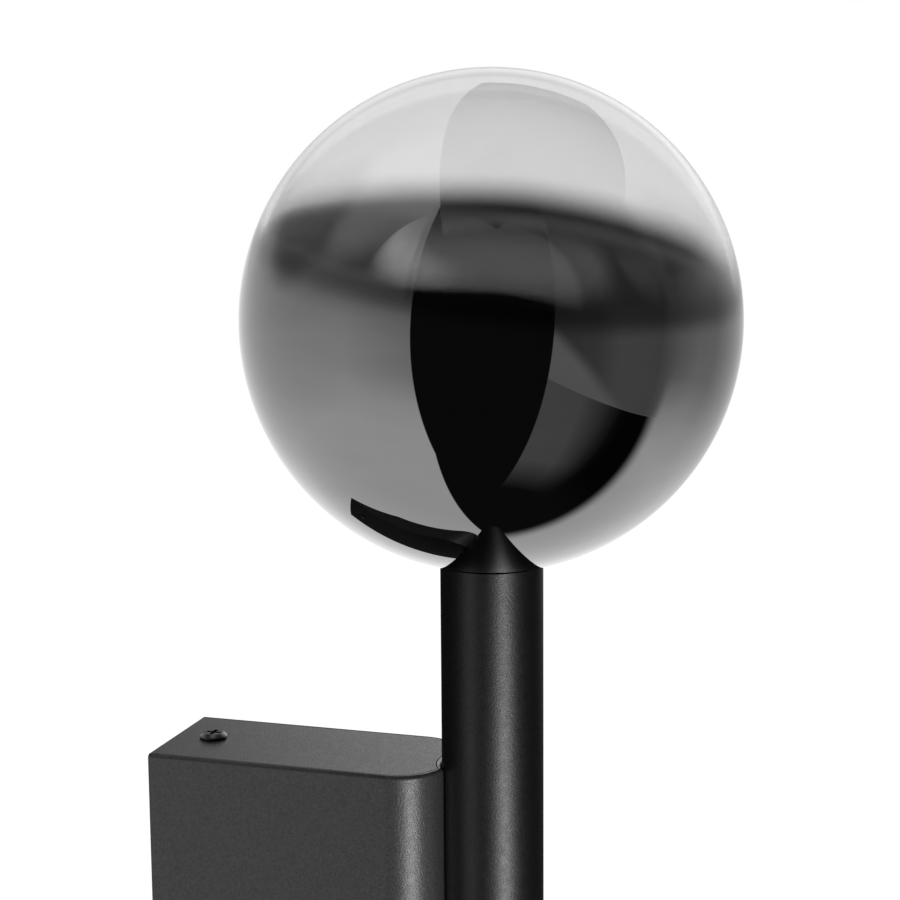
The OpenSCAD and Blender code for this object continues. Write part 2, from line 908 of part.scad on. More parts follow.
module lens_clip() {
    color("silver")
        translate([0, axis_y, ledge_z + lens_t + 2 * seat])
            difference() {
                cylinder(r = lens_r - seat, h = clip_t);
                translate([0, 0, -over])
                    cylinder(r = lens_r - seat - clip_w, h = clip_t + 2 * over);
                translate([-clip_w, 0, -over])
                    cube([2 * clip_w, tube_r, clip_t + 2 * over]);
            }
}

// The cable from the board, down the tube, through the nipple and over the driver
module lamp_cable() {
    tube_y = axis_y - lamp_cable_r;
    box_y = nipple_tip_y + lamp_bend_box;
    loop_z = driver_z1 + lamp_entry;
    color("black") {
        translate([0, tube_y, lamp_bend_tube])
            cylinder(d = lamp_cable_d, h = board_z - seat - lamp_bend_tube);
        bend_yz(0, tube_y + lamp_bend_tube, lamp_bend_tube, lamp_bend_tube, lamp_cable_d, 180, 90);
        along_y(lamp_cable_d, tube_y + lamp_bend_tube, nipple_tip_y);
        bend_yz(0, nipple_tip_y, lamp_bend_box, lamp_bend_box, lamp_cable_d, -90, 90);
        translate([0, box_y, lamp_bend_box])
            cylinder(d = lamp_cable_d, h = loop_z - lamp_bend_box);
        bend_yz(0, box_y + lamp_loop, loop_z, lamp_loop, lamp_cable_d, 0, 180);
        translate([0, lamp_driver_y(), driver_z1 - driver_wall])
            cylinder(d = lamp_cable_d, h = loop_z - driver_z1 + driver_wall);
    }
}

function lamp_driver_y() = nipple_tip_y + lamp_bend_box + 2 * lamp_loop;

// Height of the globe's underside at a distance from the tube's axis
function globe_under(r) = globe_z - sqrt(globe_r * globe_r - r * r);

module seat_ring() {
    color("#1c1c1c")
        translate([0, axis_y, 0])
            rotate_extrude()
                polygon([
                    [ring_ri, ring_z + seat],
                    [ring_ro, ring_z + seat],
                    [ring_ro, globe_under(ring_ro) - globe_lift],
                    [ring_ri, globe_under(ring_ri) - globe_lift]
                ]);
}

module globe() {
    color([0.62, 0.63, 0.64, 0.6])
        translate([0, axis_y, globe_z])
            difference() {
                sphere(globe_r);
                sphere(globe_r - glass_wall);
            }
}

wall_bracket();
cable_bush();
earth_screw();
earth_washer();
terminal_block();
terminal_screws();
terminal_fixing_screw();
housing_wrap();
top_plate();
bottom_plate();
cover_screws();
driver_case();
driver_lid();
driver_screws();
mains_leads();
backing_pad();
nipple_washer();
nipple_nut();
hollow_nipple();
tube_block();
block_screws();
tube();
bottom_cap();
set_screws();
heat_sink();
thermal_pad();
led_board();
led_chip();
reflector();
seat_cup();
cup_screws();
lens();
lens_clip();
lamp_cable();
seat_ring();
globe();
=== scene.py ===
"""Looks of a globe wall sconce: a part-mirrored glass globe resting on an upright tube,
held by a narrow sheet-metal housing. Lengths are in metres unless a name says otherwise."""

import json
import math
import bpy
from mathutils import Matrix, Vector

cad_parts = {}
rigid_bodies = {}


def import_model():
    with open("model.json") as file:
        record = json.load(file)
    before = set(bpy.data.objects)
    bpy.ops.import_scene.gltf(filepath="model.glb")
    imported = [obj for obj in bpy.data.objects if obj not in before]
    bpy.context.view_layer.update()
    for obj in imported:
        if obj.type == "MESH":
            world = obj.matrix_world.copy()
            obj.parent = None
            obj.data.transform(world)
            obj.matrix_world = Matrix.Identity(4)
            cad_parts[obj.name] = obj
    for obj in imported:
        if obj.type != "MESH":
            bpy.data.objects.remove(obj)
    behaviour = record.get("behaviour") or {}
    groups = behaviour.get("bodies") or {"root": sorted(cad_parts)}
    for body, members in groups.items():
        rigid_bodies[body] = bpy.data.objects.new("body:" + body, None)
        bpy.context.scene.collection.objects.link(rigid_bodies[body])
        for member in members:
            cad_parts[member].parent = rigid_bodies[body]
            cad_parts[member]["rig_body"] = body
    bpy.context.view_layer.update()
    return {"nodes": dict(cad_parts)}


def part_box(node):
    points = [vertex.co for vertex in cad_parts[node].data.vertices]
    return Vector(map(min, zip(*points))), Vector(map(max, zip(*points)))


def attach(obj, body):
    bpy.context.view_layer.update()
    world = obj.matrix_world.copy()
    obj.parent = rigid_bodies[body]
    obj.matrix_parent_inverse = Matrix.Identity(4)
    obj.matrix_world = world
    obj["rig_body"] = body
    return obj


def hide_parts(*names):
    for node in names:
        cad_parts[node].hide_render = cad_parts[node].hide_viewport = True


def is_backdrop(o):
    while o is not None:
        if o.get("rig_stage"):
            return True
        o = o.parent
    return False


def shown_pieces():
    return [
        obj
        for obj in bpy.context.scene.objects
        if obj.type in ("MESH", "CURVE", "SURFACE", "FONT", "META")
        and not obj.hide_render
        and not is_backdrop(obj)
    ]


bl_info = {
    "name": "Globe Wall Sconce",
    "version": (1, 0, 0),
    "blender": (4, 5, 0),
    "location": "View3D > Sidebar > Sconce",
    "description": "Builds the pieces, finishes and studio of a globe wall sconce",
    "category": "Object",
}

from types import SimpleNamespace

import bmesh
import bpy
from bpy.props import FloatProperty, FloatVectorProperty, IntProperty, PointerProperty
from mathutils import Matrix, Vector
from mathutils.bvhtree import BVHTree

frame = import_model()

MM = 0.001

# The sRGB curve: a straight foot, then a power
SRGB_FOOT = 0.04045
SRGB_FOOT_SLOPE = 12.92
SRGB_OFFSET = 0.055
SRGB_POWER = 2.4
HEX_MOST = 255

# Copies of CAD nodes: points closer than this are one, faces within this angle are one
MERGE_DISTANCE = 0.004 * MM
FLAT_ANGLE = math.radians(0.4)
# Edges that turn more than this are real edges, the others lie on a curve
EDGE_ANGLE = math.radians(32)

# The CAD mesh's facets cut about this much off the true sphere, so the spun globe, whose
# facets are finer, is drawn as much smaller
FACET_INSET = 0.035 * MM
# Points of the spun globe that are closer than this, at its poles, are one
POLE_MERGE = 0.04 * MM
GLOBE_LOW, GLOBE_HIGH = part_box("globe")
GLOBE_CENTRE = (GLOBE_LOW + GLOBE_HIGH) / 2
GLOBE_RADIUS = (GLOBE_HIGH.z - GLOBE_LOW.z) / 2 - FACET_INSET
TUBE_LOW, TUBE_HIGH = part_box("tube")
WRAP_LOW, WRAP_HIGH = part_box("housing_wrap")

# How the wrap's outer rim is told by its faces' normals, and how a probe tests it
LEVEL_FACE = 0.99
UPRIGHT_FACE = 0.1
REAR_FACE = 0.5
RIM_BAND = 0.1 * MM
PROBE_DROP = 2 * MM
PROBE_START = 0.05 * MM

# The globe's coating: its height runs along this axis, in parts of the radius
COAT_AXIS = Vector((-0.0833, -0.1091, 0.9905)).normalized()
COAT_FRONT = Vector((-0.951, -0.309, 0))
COAT_SIDE = Vector((0.309, -0.951, 0))
COAT_DRIFT_SIZE = 60 * MM
COAT_DRIFT = 0.02
CLEAR_START = 0.25
CLEAR_END = 0.48
CLEAR_FRONT_DROP = -0.045
CLEAR_BOW = 0.05
MIRROR_FULL = 0.18
MIRROR_NONE = 0.32
MIRROR_LEAN = 0.06
FILM_BY_HEIGHT = ((-0.3, 1.0), (0, 0.85), (0.12, 0.6), (0.2, 0.35), (0.3, 0.2))
CLOUD_SIZE = 28 * MM
CLOUD_FLATTENED = 4
CLOUD_SHADES = (0.98, 1.03)
OUTER_SKIN = 1 * MM

# Levels of the studio walls: by height, from -1 straight down to 1 straight up
WALL_BY_HEIGHT = (
    (-1, 1.4), (-0.5, 1.4), (-0.35, 1.2), (-0.2, 1.05), (-0.05, 0.98), (0.08, 0.85),
    (0.13, 0.72), (0.2, 0.52), (0.3, 0.33), (0.45, 0.42), (0.57, 0.8), (0.68, 1.4),
    (0.78, 2.2), (1, 2.2),
)
# and by bearing from the camera's side, in degrees to its right
WALL_BY_TURN = (
    (-180, 1), (-70, 1.0), (26, 0.13), (47, 0.17), (58, 0.26), (70, 0.26), (80, 0.24),
    (92, 0.4), (106, 0.52), (120, 0.48), (134, 0.6), (150, 0.68), (164, 0.75), (171, 1),
    (180, 1),
)
# The heights between which the walls turn to being the same all round
EVEN_BELOW = {"From Min": -0.3, "From Max": -0.65}
EVEN_ABOVE = {"From Min": 0.42, "From Max": 0.62}
# The dark floor's sheen by bearing, and the heights between which it fades out downward
FLOOR_BY_TURN = (
    (21, 0.27), (42, 0.26), (48, 0.19), (54, 0.125), (60, 0.055), (66, 0.013), (71, 0.005),
)
FLOOR_OFF_NADIR = {"From Min": -0.95, "From Max": -0.83}
# Levels seen through the globe's clear top by height, and how far the side is lit there
# by bearing, and between which heights that begins
THROUGH_BY_HEIGHT = ((-1, 1.0), (0.12, 1.0), (0.25, 0.45), (0.5, 0.4), (0.8, 0.36), (1, 0.38))
THROUGH_BY_TURN = (
    (-180, 0.0), (-150, 0.1), (-110, 0.8), (-80, 1.0), (-40, 1.0), (-30, 0.0), (180, 0.0),
)
LIT_SIDE_BELOW = {"From Min": 0.8, "From Max": 0.6}
# Light that is left after so many turns inside the globe
LEFT_AFTER_TURNS = ((0, 1), (2, 1), (3, 0.4), (4, 0.15))

# Straight edges in the studio: two directions on the edge and one inside it, each a
# bearing and an elevation in degrees, and how soft the edge is
SHARP = 0.004
STUDIO_EDGES = {
    "gap_left": ((-36.5, -40), (-36.5, 40), (0, 0), SHARP),
    "gap_right": ((28, 15), (21.5, -40), (0, 0), SHARP),
    "right_of_gap": ((28, 15), (21.5, -40), (90, 0), SHARP),
    "through_gap_left": ((-41.5, -40), (-41.5, 40), (0, 0), SHARP),
    "box_right": ((88, 30), (88, -30), (40, 0), 0.06),
    "box_bottom": ((25.5, -19), (80, -31), (50, 20), SHARP),
    "box_upper": ((26, 2), (60, -28.5), (50, 20), 0.06),
    "ceiling_left": ((-136.2, 71.6), (-45, 62.4), (90, 70), SHARP),
    "ceiling_right": ((79.7, 39.1), (145.9, 40.8), (0, 90), SHARP),
    "ceiling_back": ((90, 0), (180, 39.8), (0, 0), SHARP),
    "ceiling_front": ((-90, 0), (0, 50), (0, 90), 0.1),
    "floor_back": ((141.4, -71.9), (88.6, -35), (0, -45), 0.07),
    "floor_left": ((-164.5, -79.4), (-35.8, -50), (90, -45), SHARP),
}
DARK_LEVEL = 0.015
BOX_LEVEL = 0.42
CEILING_LEVEL = 0.3
LIT_SIDE_LEVEL = 0.95
WHITE_LEVEL = 1.0
# Round places on the walls: bearing and elevation, and how nearly a ray has to point
# there, where 1 is straight at the place; then the wall behind the lamp
WINDOWS = ((152, 40, 1.7), (-165, 45, 1.6))
WINDOW_EDGE = {"From Min": 0.78, "From Max": 0.91}
DULL_PLACE = (-115, 30)
DULL_EDGE = {"From Min": 0.9, "From Max": 0.975, "To Min": 1.0, "To Max": 0.35}
GLOW_PLACE = (153, 22)
GLOW_EDGE = {"From Min": 0.8, "From Max": 0.97, "To Min": 0.02, "To Max": 2.5}
REAR_LEVEL = 0.8
REAR_EDGE = {"From Min": -0.85, "From Max": -0.93}

FLOOR_HEX = "#F2F2F2"
FLOOR_GLOW = 0.58
FLOOR_CUTS = 7
SENSOR_WIDTH_MM = 36

# Lamps round the tube's middle: bearing in degrees, distance, lift, width and height
LAMPS = {
    "key_strip": (26, 0.85, -0.4, 0.3, 0.7),
    "fill": (-52, 1.0, -0.1, 0.45, 0.9),
    "top_light": (0, 0, 1.3, 0.9, 0.9),
}
WALL_LAMP_PLACE = (0, 1.4, 0.2)
WALL_LAMP_SIZE = (2.8, 2.2)
BARE_METALS = ("zinc_plated_steel", "blackened_steel", "turned_brass", "machined_aluminium")


def linear(hex_colour):
    """Linear red, green and blue of an sRGB hex colour."""
    values = [int(hex_colour[i : i + 2], 16) / HEX_MOST for i in (1, 3, 5)]
    return tuple(
        v / SRGB_FOOT_SLOPE if v <= SRGB_FOOT
        else ((v + SRGB_OFFSET) / (1 + SRGB_OFFSET)) ** SRGB_POWER
        for v in values
    )


def colour_of(name, description, hex_colour):
    """A colour that the user can change, with its default as a hex value."""
    return FloatVectorProperty(
        name=name, description=description, subtype="COLOR", size=3, min=0, max=1,
        default=linear(hex_colour),
    )


def length_of(name, description, default):
    """A length that the user can change, in metres."""
    return FloatProperty(
        name=name, description=description, subtype="DISTANCE", unit="LENGTH", min=0,
        default=default, precision=5,
    )


def power_of(name, description, default):
    """A lamp's power that the user can change, in watts."""
    return FloatProperty(name=name, description=description, subtype="POWER", default=default)


def angle_of(name, description, degrees):
    """An angle that the user can change, with its default in degrees."""
    return FloatProperty(
        name=name, description=description, subtype="ANGLE", unit="ROTATION",
        default=math.radians(degrees),
    )


class SconceSizes(bpy.types.PropertyGroup):
    """Sizes of the pieces that are shaped here."""

    glass_wall: length_of("Glass wall", "Thickness of the globe's glass", 2.4 * MM)
    edge_round: length_of("Edge rounding", "Radius of coated sheet edges", 0.3 * MM)
    shoulder_round: length_of(
        "Shoulder rounding", "Radius of the housing's outer top and bottom edges", 1.3 * MM
    )
    rim_round: length_of("Rim rounding", "Radius of the tube's cut edges", 0.35 * MM)
    fine_round: length_of("Fine rounding", "Radius of edges on small inner parts", 0.15 * MM)
    globe_segments: IntProperty(
        name="Globe segments", description="Faces round the globe", default=240, min=32, max=400
    )


class SconceFinishes(bpy.types.PropertyGroup):
    """Colours of the finishes."""

    charcoal: colour_of("Charcoal coat", "Powder coat of the housing", "#2D2D2D")
    black: colour_of("Black coat", "Powder coat of the tube", "#070707")
    mirror: colour_of("Mirror", "Mirror coating seen from outside through the glass", "#747474")
    mirror_back: colour_of("Mirror inside", "Mirror coating seen from inside", "#D9D9D9")
    clear_glass: colour_of("Clear glass", "Tint of the uncoated glass", "#EDEDED")
    screw: colour_of("Blackened steel", "Cover and grub screws", "#3E3E3E")
    zinc: colour_of("Zinc plate", "Bracket, plates and small screws", "#B9BEC4")
    brass: colour_of("Brass", "Nipple, nut and terminal parts", "#C9A35C")
    aluminium: colour_of("Aluminium", "Heat sink and tube block", "#C4C6C9")
    anodised: colour_of("Black anodising", "Seat cup", "#1E1E20")
    rubber: colour_of("Black rubber", "Ring and bush", "#161617")
    ivory: colour_of("Ivory plastic", "Terminal block", "#E6E0CB")
    white: colour_of("White plastic", "Driver case and lamp board", "#E8E8E6")
    leads: colour_of("Lead covering", "Mains leads", "#8E2A22")
    cable: colour_of("Cable covering", "Lamp cable", "#1A1A1B")
    thermal: colour_of("Thermal pad", "Pad under the lamp board", "#9AA5B0")
    phosphor: colour_of("Phosphor", "Lit disc of the light source", "#E7C64E")
    bright: colour_of("Bright metal", "Reflector", "#E6E7E8")
    lens: colour_of("Lens plastic", "Frosted lens", "#EFEFEC")


class SconceStudio(bpy.types.PropertyGroup):
    """Camera, light and floor."""

    camera_place: FloatVectorProperty(
        name="Camera place", description="Where the camera stands", subtype="XYZ", size=3,
        unit="LENGTH", default=(-0.65252, -0.30694, 0.26458), precision=5,
    )
    camera_turn: angle_of("Camera turn", "Bearing of the camera round the object", -72.02)
    camera_down: angle_of("Camera down", "How far the camera looks down", 9.73)
    camera_roll: angle_of("Camera roll", "Tilt of the picture", -0.44)
    camera_lens: FloatProperty(
        name="Lens", description="Focal length in millimetres on a 36 mm sensor",
        default=90.06, min=1,
    )
    key_power: power_of("Key power", "Power of the strip light", 9.5)
    fill_power: power_of("Fill power", "Power of the fill light", 1.3)
    top_power: power_of("Top power", "Power of the light overhead", 6)
    wall_side_power: power_of(
        "Wall side power", "Power of the light on the bare metal behind", 26
    )
    room_light: FloatProperty(
        name="Room light", description="Even light from all round", default=0.5, min=0
    )
    floor_drop: length_of("Floor drop", "Height of the tube's end above the floor", 0.6)
    floor_size: length_of("Floor size", "Side of the floor", 14)


def put(tree, kind, inputs=None, **settings):
    """Adds a shader node with its settings; an input is a value or the output that feeds it."""
    made = tree.nodes.new("ShaderNode" + kind)
    for name, value in settings.items():
        setattr(made, name, value)
    for name, value in (inputs or {}).items():
        if isinstance(value, bpy.types.NodeSocket):
            tree.links.new(value, made.inputs[name])
        else:
            made.inputs[name].default_value = value
    return made


def start_finish(name):
    """An empty material with its tree and the object coordinates, in metres."""
    material = bpy.data.materials.new(name)
    material.use_nodes = True
    tree = material.node_tree
    tree.nodes.clear()
    place = put(tree, "TexCoord").outputs["Object"]
    return material, tree, place


def end_finish(tree, surface):
    """Joins the surface to the material's output."""
    put(tree, "OutputMaterial", {"Surface": surface.outputs[0]})


def with_alpha(colour):
    """A colour with the fourth value that a colour socket wants."""
    return (colour[0], colour[1], colour[2], 1)


def shade(colour, factor):
    """A lighter or darker version of a colour."""
    return with_alpha([min(1, c * factor) for c in colour])


def clouded(tree, pattern, colour, darker, lighter, reach=0.15):
    """A colour that drifts between two shades; a pattern keeps mostly within reach of 0.5."""
    ramp = put(tree, "ValToRGB", {"Fac": pattern})
    low, high = ramp.color_ramp.elements
    low.position = 0.5 - reach
    low.color = shade(colour, darker)
    high.position = 0.5 + reach
    high.color = shade(colour, lighter)
    return ramp.outputs["Color"]


def graded(tree, value, stops):
    """A level that runs through stops, each a value and the level there."""
    first = stops[0][0]
    last = stops[-1][0]
    share = put(tree, "MapRange", {"From Min": first, "From Max": last, "Value": value})
    curve = put(tree, "ValToRGB", {"Fac": share.outputs["Result"]})
    marks = curve.color_ramp.elements
    for at, level in stops[1:-1]:
        marks.new((at - first) / (last - first)).color = (level, level, level, 1)
    marks[0].color = (stops[0][1], stops[0][1], stops[0][1], 1)
    marks[-1].color = (stops[-1][1], stops[-1][1], stops[-1][1], 1)
    return curve.outputs["Color"]


def powder_coat(name, colour, grain, depth, roughness, spread, peel_size=2.2 * MM,
                peel_share=0.15, smoother=0.05, rougher=0.07):
    """Polyester powder coat, sprayed and baked: a fine even grain on a soft orange peel."""
    material, tree, place = start_finish(name)
    speck = put(tree, "TexNoise",
                {"Scale": 1 / grain, "Detail": 2.0, "Roughness": 0.6, "Vector": place})
    peel = put(tree, "TexNoise", {"Scale": 1 / peel_size, "Detail": 1.0, "Vector": place})
    tint = clouded(tree, speck.outputs["Fac"], colour, 1 - spread, 1 + spread, reach=0.2)
    gloss = put(tree, "MapRange",
                {"To Min": roughness - smoother, "To Max": roughness + rougher,
                 "Value": peel.outputs["Fac"]})
    soft = put(tree, "Bump", {"Strength": 1.0, "Distance": depth * peel_share,
                              "Height": peel.outputs["Fac"]})
    bump = put(tree, "Bump", {"Strength": 1.0, "Distance": depth,
                              "Height": speck.outputs["Fac"], "Normal": soft.outputs["Normal"]})
    surface = put(tree, "BsdfPrincipled",
                  {"IOR": 1.5, "Base Color": tint, "Roughness": gloss.outputs["Result"],
                   "Normal": bump.outputs["Normal"]})
    end_finish(tree, surface)
    return material


def charcoal_powder(colours):
    """The housing's coat: dark grey, fine-textured, dull, so edges show as soft light lines."""
    # the real grain is about 0.2 mm, drawn three times as coarse so that it shows
    return powder_coat("charcoal_powder_coat", colours.charcoal, grain=0.6 * MM,
                       depth=0.09 * MM, roughness=0.37, spread=0.35)


def black_powder(colours):
    """The tube's coat: black and finer, satin, so it shows long upright highlights."""
    # the grain is drawn as coarse as the housing's, and shallower
    return powder_coat("satin_black_powder_coat", colours.black, grain=0.6 * MM,
                       depth=0.06 * MM, roughness=0.41, spread=0.35)


def coating_height(tree, from_centre, axis):
    """How far a point lies from the globe's centre along an axis, in parts of the radius."""
    reach = put(tree, "VectorMath", {0: from_centre, 1: axis / GLOBE_RADIUS},
                operation="DOT_PRODUCT")
    return reach.outputs["Value"]


def mirrored_glass(colours):
    """Blown soda glass, coated inside with vacuum-deposited aluminium that thins out upward:
    a dark smoke mirror below, an opaque dark band where it thins, clear glass above."""
    material, tree, place = start_finish("graded_mirror_glass")
    from_centre = put(tree, "VectorMath", {0: place, 1: GLOBE_CENTRE},
                      operation="SUBTRACT").outputs["Vector"]
    height = coating_height(tree, from_centre, COAT_AXIS)
    front = coating_height(tree, from_centre, COAT_FRONT)
    side = coating_height(tree, from_centre, COAT_SIDE)
    # the spray's edge wanders a little, because the coating was let in by hand
    drift = put(tree, "TexNoise", {"Scale": 1 / COAT_DRIFT_SIZE, "Detail": 1.0, "Vector": place})
    shift = put(tree, "MapRange", {"To Min": -COAT_DRIFT, "To Max": COAT_DRIFT,
                                   "Value": drift.outputs["Fac"]})
    level = put(tree, "Math", {0: height, 1: shift.outputs["Result"]}).outputs["Value"]
    # the clear glass reaches lower on two opposite sides, and starts lower on the front
    squared = put(tree, "Math", {0: side, 1: side}, operation="MULTIPLY").outputs["Value"]
    bowed = put(tree, "Math", {0: squared, 1: CLEAR_BOW, 2: level}, operation="MULTIPLY_ADD")
    start = put(tree, "Math", {0: front, 1: CLEAR_FRONT_DROP, 2: CLEAR_START},
                operation="MULTIPLY_ADD")
    clear = put(tree, "MapRange",
                {"Value": bowed.outputs["Value"], "From Min": start.outputs["Value"],
                 "From Max": CLEAR_END, "To Min": 0.0, "To Max": 1.0},
                interpolation_type="SMOOTHSTEP")
    # the mirror reaches a little higher on one side than on the other
    lean = put(tree, "Math", {0: side, 1: MIRROR_LEAN, 2: level}, operation="MULTIPLY_ADD")
    metal = put(tree, "MapRange",
                {"Value": lean.outputs["Value"], "From Min": MIRROR_NONE,
                 "From Max": MIRROR_FULL, "To Min": 0.0, "To Max": 1.0},
                interpolation_type="SMOOTHSTEP").outputs["Result"]
    tint = put(tree, "MixRGB", {"Fac": clear.outputs["Result"], "Color1": (0, 0, 0, 1),
                                "Color2": with_alpha(colours.clear_glass)})
    # the inner wall shows the bare side of the metal, and a thinner film gives back less
    film = put(tree, "MixRGB", {"Fac": graded(tree, level, FILM_BY_HEIGHT),
                                "Color1": (0, 0, 0, 1),
                                "Color2": with_alpha(colours.mirror_back)})
    # the outer wall shows its dulled side, with the faint clouds of a coating source that
    # the globe was turned over
    drawn = put(tree, "Mapping", {"Scale": (1, 1, CLOUD_FLATTENED), "Vector": place})
    cloud = put(tree, "TexNoise", {"Scale": 1 / CLOUD_SIZE, "Detail": 3.0,
                                   "Vector": drawn.outputs["Vector"]})
    dulled = clouded(tree, cloud.outputs["Fac"], colours.mirror, *CLOUD_SHADES)
    depth = put(tree, "VectorMath", {0: from_centre}, operation="LENGTH").outputs["Value"]
    outer = put(tree, "Math", {0: depth, 1: GLOBE_RADIUS - OUTER_SKIN},
                operation="GREATER_THAN").outputs["Value"]
    coat = put(tree, "MixRGB", {"Fac": outer, "Color1": film.outputs["Color"],
                                "Color2": dulled})
    both = put(tree, "MixRGB", {"Fac": metal, "Color1": tint.outputs["Color"],
                                "Color2": coat.outputs["Color"]})
    surface = put(tree, "BsdfPrincipled",
                  {"Roughness": 0.0, "IOR": 1.5, "Transmission Weight": 1.0,
                   "Base Color": both.outputs["Color"], "Metallic": metal})
    end_finish(tree, surface)
    return material


def bare_metal(name, colour, roughness, grain, depth, stretch=(1, 1, 1), cloud_size=9 * MM,
               darker=0.88, lighter=1.06, smoother=0.08, rougher=0.1):
    """Metal whose surface is read by its fine marks, drawn out along one direction."""
    material, tree, place = start_finish(name)
    drawn = put(tree, "Mapping", {"Scale": stretch, "Vector": place})
    marks = put(tree, "TexNoise", {"Scale": 1 / grain, "Detail": 3.0,
                                   "Vector": drawn.outputs["Vector"]}).outputs["Fac"]
    cloud = put(tree, "TexNoise", {"Scale": 1 / cloud_size, "Detail": 2.0, "Vector": place})
    tint = clouded(tree, cloud.outputs["Fac"], colour, darker, lighter)
    gloss = put(tree, "MapRange", {"To Min": roughness - smoother,
                                   "To Max": roughness + rougher, "Value": marks})
    bump = put(tree, "Bump", {"Strength": 1.0, "Distance": depth, "Height": marks})
    surface = put(tree, "BsdfPrincipled",
                  {"Metallic": 1.0, "Base Color": tint, "Roughness": gloss.outputs["Result"],
                   "Normal": bump.outputs["Normal"]})
    end_finish(tree, surface)
    return material


def zinc_steel(colours):
    """Zinc-plated steel, passivated: a pale bluish metal with a cloudy, half-dull shine."""
    return bare_metal("zinc_plated_steel", colours.zinc, roughness=0.42, grain=0.6 * MM,
                      depth=0.006 * MM)


def black_screw(colours):
    """Blackened steel screws: nearly black oxide with an oily half shine."""
    return bare_metal("blackened_steel", colours.screw, roughness=0.34, grain=0.4 * MM,
                      depth=0.006 * MM)


def brass(colours):
    """Turned brass: warm, fairly bright, with fine rings from the lathe."""
    return bare_metal("turned_brass", colours.brass, roughness=0.26, grain=0.5 * MM,
                      depth=0.005 * MM, stretch=(1, 1, 3))


def plain_aluminium(colours):
    """Machined aluminium: pale grey, with fine lines from the cutter."""
    return bare_metal("machined_aluminium", colours.aluminium, roughness=0.34,
                      grain=0.5 * MM, depth=0.006 * MM, stretch=(1, 1, 4))


def bright_metal(colours):
    """Vapour-metallised reflector: very smooth and bright, hardly any marks."""
    return bare_metal("bright_reflector", colours.bright, roughness=0.14, grain=0.8 * MM,
                      depth=0.001 * MM)


def black_aluminium(colours):
    """Black anodised aluminium: a dyed oxide over blasted metal, dull with a metal sheen."""
    return bare_metal("black_anodised_aluminium", colours.anodised, roughness=0.42,
                      grain=0.3 * MM, depth=0.006 * MM)


def moulded(name, colour, roughness, grain, depth, clear=0.0, ior=1.5, cloud_size=7 * MM,
            darker=0.94, lighter=1.04, smoother=0.05, rougher=0.06):
    """Moulded or cast plastic and rubber: even colour, fine texture from the mould."""
    material, tree, place = start_finish(name)
    fine = put(tree, "TexNoise", {"Scale": 1 / grain, "Detail": 2.0,
                                  "Vector": place}).outputs["Fac"]
    wide = put(tree, "TexNoise", {"Scale": 1 / cloud_size, "Detail": 1.0, "Vector": place})
    tint = clouded(tree, wide.outputs["Fac"], colour, darker, lighter)
    gloss = put(tree, "MapRange", {"To Min": roughness - smoother,
                                   "To Max": roughness + rougher, "Value": fine})
    bump = put(tree, "Bump", {"Strength": 1.0, "Distance": depth, "Height": fine})
    surface = put(tree, "BsdfPrincipled",
                  {"IOR": ior, "Transmission Weight": clear, "Base Color": tint,
                   "Roughness": gloss.outputs["Result"], "Normal": bump.outputs["Normal"]})
    end_finish(tree, surface)
    return material


def black_rubber(colours):
    """Silicone rubber, moulded: black, dull, with a faint bloom."""
    return moulded("black_silicone_rubber", colours.rubber, roughness=0.62,
                   grain=0.35 * MM, depth=0.006 * MM)


def ivory_plastic(colours):
    """Polyamide terminal block, moulded: warm white, satin."""
    return moulded("ivory_polyamide", colours.ivory, roughness=0.42, grain=0.4 * MM,
                   depth=0.004 * MM)


def white_plastic(colours):
    """Polycarbonate driver case and board mask, moulded: cool white, satin."""
    return moulded("white_polycarbonate", colours.white, roughness=0.4, grain=0.4 * MM,
                   depth=0.005 * MM)


def lead_plastic(colours):
    """Extruded vinyl lead covering: smooth and slightly glossy."""
    return moulded("vinyl_lead_covering", colours.leads, roughness=0.32, grain=0.9 * MM,
                   depth=0.002 * MM)


def black_cable(colours):
    """Extruded silicone cable covering: smooth, black, satin."""
    return moulded("black_cable_covering", colours.cable, roughness=0.45, grain=0.8 * MM,
                   depth=0.002 * MM)


def pad_rubber(colours):
    """Filled silicone thermal pad: grey-blue, quite dull."""
    return moulded("thermal_pad_silicone", colours.thermal, roughness=0.72,
                   grain=0.3 * MM, depth=0.006 * MM)


def phosphor(colours):
    """Phosphor-filled silicone over the chips: yellow, satin, faintly grainy."""
    return moulded("phosphor_silicone", colours.phosphor, roughness=0.4, grain=0.3 * MM,
                   depth=0.004 * MM)


def lens_plastic(colours):
    """Frosted acrylic lens: lets light through, and spreads it on its rough face."""
    return moulded("frosted_acrylic", colours.lens, roughness=0.5, grain=0.25 * MM,
                   depth=0.004 * MM, clear=0.6, ior=1.49)


FINISHES = {
    finish.__name__: finish
    for finish in (
        charcoal_powder, black_powder, mirrored_glass, zinc_steel, black_screw, brass,
        plain_aluminium, bright_metal, black_aluminium, black_rubber, ivory_plastic,
        white_plastic, lead_plastic, black_cable, pad_rubber, phosphor, lens_plastic,
    )
}
finished = {}


def finish_of(slot_name, context):
    """The material for a slot of the record, made once."""
    if slot_name not in finished:
        finished[slot_name] = FINISHES[slot_name](context.scene.sconce_finishes)
    return finished[slot_name]


def slot_of(node):
    """The record's material slot that a CAD node takes its finish from."""
    return frame["nodes"][node].data.materials[0].name


def body_of(node):
    """The CAD body that a node rides on."""
    return frame["nodes"][node]["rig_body"]


def only(context, piece):
    """Leaves one piece selected and active."""
    bpy.ops.object.select_all(action="DESELECT")
    piece.select_set(True)
    context.view_layer.objects.active = piece


def apply_modifier(context, piece, kind, **settings):
    """Adds a modifier with its settings and applies it."""
    only(context, piece)
    modifier = piece.modifiers.new(kind.lower(), kind)
    for name, value in settings.items():
        setattr(modifier, name, value)
    bpy.ops.object.modifier_apply(modifier=modifier.name)


